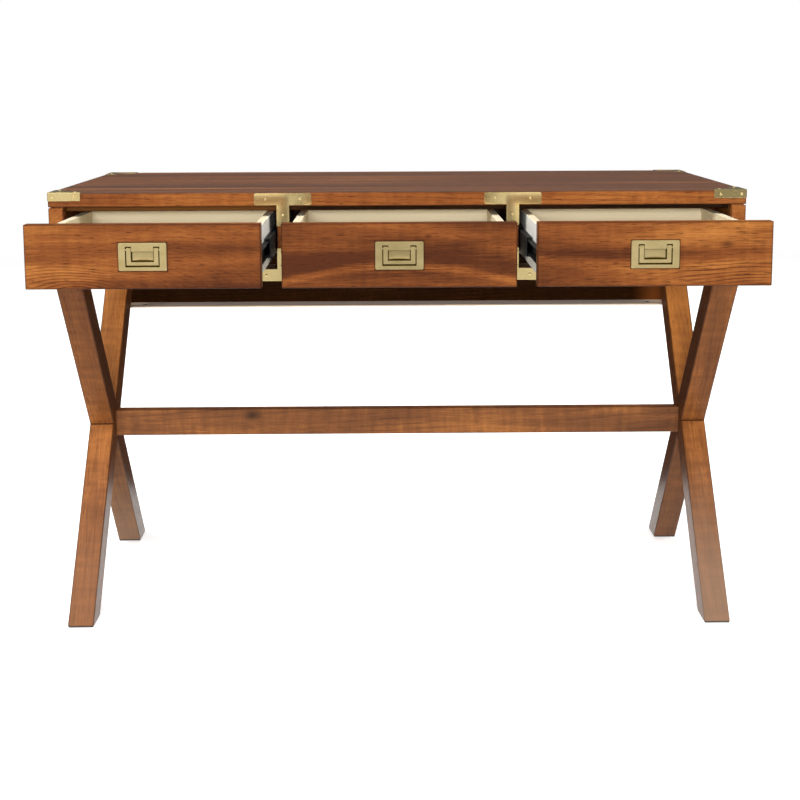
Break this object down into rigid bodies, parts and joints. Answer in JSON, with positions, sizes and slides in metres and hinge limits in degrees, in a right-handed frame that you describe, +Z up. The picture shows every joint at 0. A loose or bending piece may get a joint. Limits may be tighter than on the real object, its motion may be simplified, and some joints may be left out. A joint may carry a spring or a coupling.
{
  "type": "campaign desk",
  "caption": "Wooden campaign desk with drawers on telescopic slides, crossed legs tied by a stretcher, brass corners, T-plates and flush bail pulls.",
  "frame": {"origin": "centre of the footprint on the floor, under the middle of the top", "axes": "+X to the right of a person who faces the drawers, -Y to the front, +Z up"},
  "size_m": [1.1728, 0.7644, 0.7644],
  "materials": {
    "stained_wood": "satin reddish brown stain",
    "cream_wood": "matt cream lacquer",
    "brass": "satin lacquered",
    "slide_steel": "black zinc",
    "fixing_steel": "zinc plated",
    "glide_plastic": "matt black",
    "ledge_metal": "warm grey paint"
  },
  "bodies": {
    "case": {"back_bottom_rail": "stained_wood", "back_ledge": "ledge_metal", "back_left_cap": "brass", "back_panel": "stained_wood", "back_right_cap": "brass", "back_top_rail": "stained_wood", "cabinet_slides": "slide_steel", "case_screws": "fixing_steel", "desk_top": "stained_wood", "foot_glides": "glide_plastic", "frame_bolts": "fixing_steel", "front_bottom_rail": "stained_wood", "front_left_cap": "brass", "front_right_cap": "brass", "front_top_rail": "stained_wood", "left_divider": "stained_wood", "left_end_panel": "stained_wood", "left_leg_back_foot": "stained_wood", "left_leg_front_foot": "stained_wood", "lower_tee_plates": "brass", "plate_nails": "brass", "right_divider": "stained_wood", "right_end_panel": "stained_wood", "right_leg_back_foot": "stained_wood", "right_leg_front_foot": "stained_wood", "stretcher": "stained_wood", "upper_tee_plates": "brass"},
    "left_drawer": {"left_drawer_front": "stained_wood", "left_drawer_left_side": "cream_wood", "left_drawer_right_side": "cream_wood", "left_drawer_back": "cream_wood", "left_drawer_bottom": "cream_wood", "left_drawer_slides": "slide_steel", "left_pull_plate": "brass", "left_pull_pins": "brass"},
    "left_middle_slide": {"left_middle_slides": "slide_steel"},
    "left_bail": {"left_bail": "brass"},
    "middle_drawer": {"middle_drawer_front": "stained_wood", "middle_drawer_left_side": "cream_wood", "middle_drawer_right_side": "cream_wood", "middle_drawer_back": "cream_wood", "middle_drawer_bottom": "cream_wood", "middle_drawer_slides": "slide_steel", "middle_pull_plate": "brass", "middle_pull_pins": "brass"},
    "middle_middle_slide": {"middle_middle_slides": "slide_steel"},
    "middle_bail": {"middle_bail": "brass"},
    "right_drawer": {"right_drawer_front": "stained_wood", "right_drawer_left_side": "cream_wood", "right_drawer_right_side": "cream_wood", "right_drawer_back": "cream_wood", "right_drawer_bottom": "cream_wood", "right_drawer_slides": "slide_steel", "right_pull_plate": "brass", "right_pull_pins": "brass"},
    "right_middle_slide": {"right_middle_slides": "slide_steel"},
    "right_bail": {"right_bail": "brass"}
  },
  "joints": [
    {"name": "left_drawer_run", "type": "slide", "parent": "case", "child": "left_drawer", "axis": [0, -1, 0], "range_m": [-0.252, 0.098]},
    {"name": "left_middle_slide_run", "type": "slide", "parent": "case", "child": "left_middle_slide", "axis": [0, -1, 0], "range_m": [-0.126, 0.049]},
    {"name": "left_bail_swing", "type": "hinge", "parent": "left_drawer", "child": "left_bail", "pos_m": [-0.38125, -0.506, 0.69729], "axis": [-1, 0, 0], "range_deg": [0, 90]},
    {"name": "middle_drawer_run", "type": "slide", "parent": "case", "child": "middle_drawer", "axis": [0, -1, 0], "range_m": [-0.252, 0.098]},
    {"name": "middle_middle_slide_run", "type": "slide", "parent": "case", "child": "middle_middle_slide", "axis": [0, -1, 0], "range_m": [-0.126, 0.049]},
    {"name": "middle_bail_swing", "type": "hinge", "parent": "middle_drawer", "child": "middle_bail", "pos_m": [0, -0.506, 0.69729], "axis": [-1, 0, 0], "range_deg": [0, 90]},
    {"name": "right_drawer_run", "type": "slide", "parent": "case", "child": "right_drawer", "axis": [0, -1, 0], "range_m": [-0.252, 0.098]},
    {"name": "right_middle_slide_run", "type": "slide", "parent": "case", "child": "right_middle_slide", "axis": [0, -1, 0], "range_m": [-0.126, 0.049]},
    {"name": "right_bail_swing", "type": "hinge", "parent": "right_drawer", "child": "right_bail", "pos_m": [0.38125, -0.506, 0.69729], "axis": [-1, 0, 0], "range_deg": [0, 90]}
  ],
  "couplings": [
    {"joint": "left_middle_slide_run", "follows": "left_drawer_run", "ratio": 0.5},
    {"joint": "middle_middle_slide_run", "follows": "middle_drawer_run", "ratio": 0.5},
    {"joint": "right_middle_slide_run", "follows": "right_drawer_run", "ratio": 0.5}
  ]
}
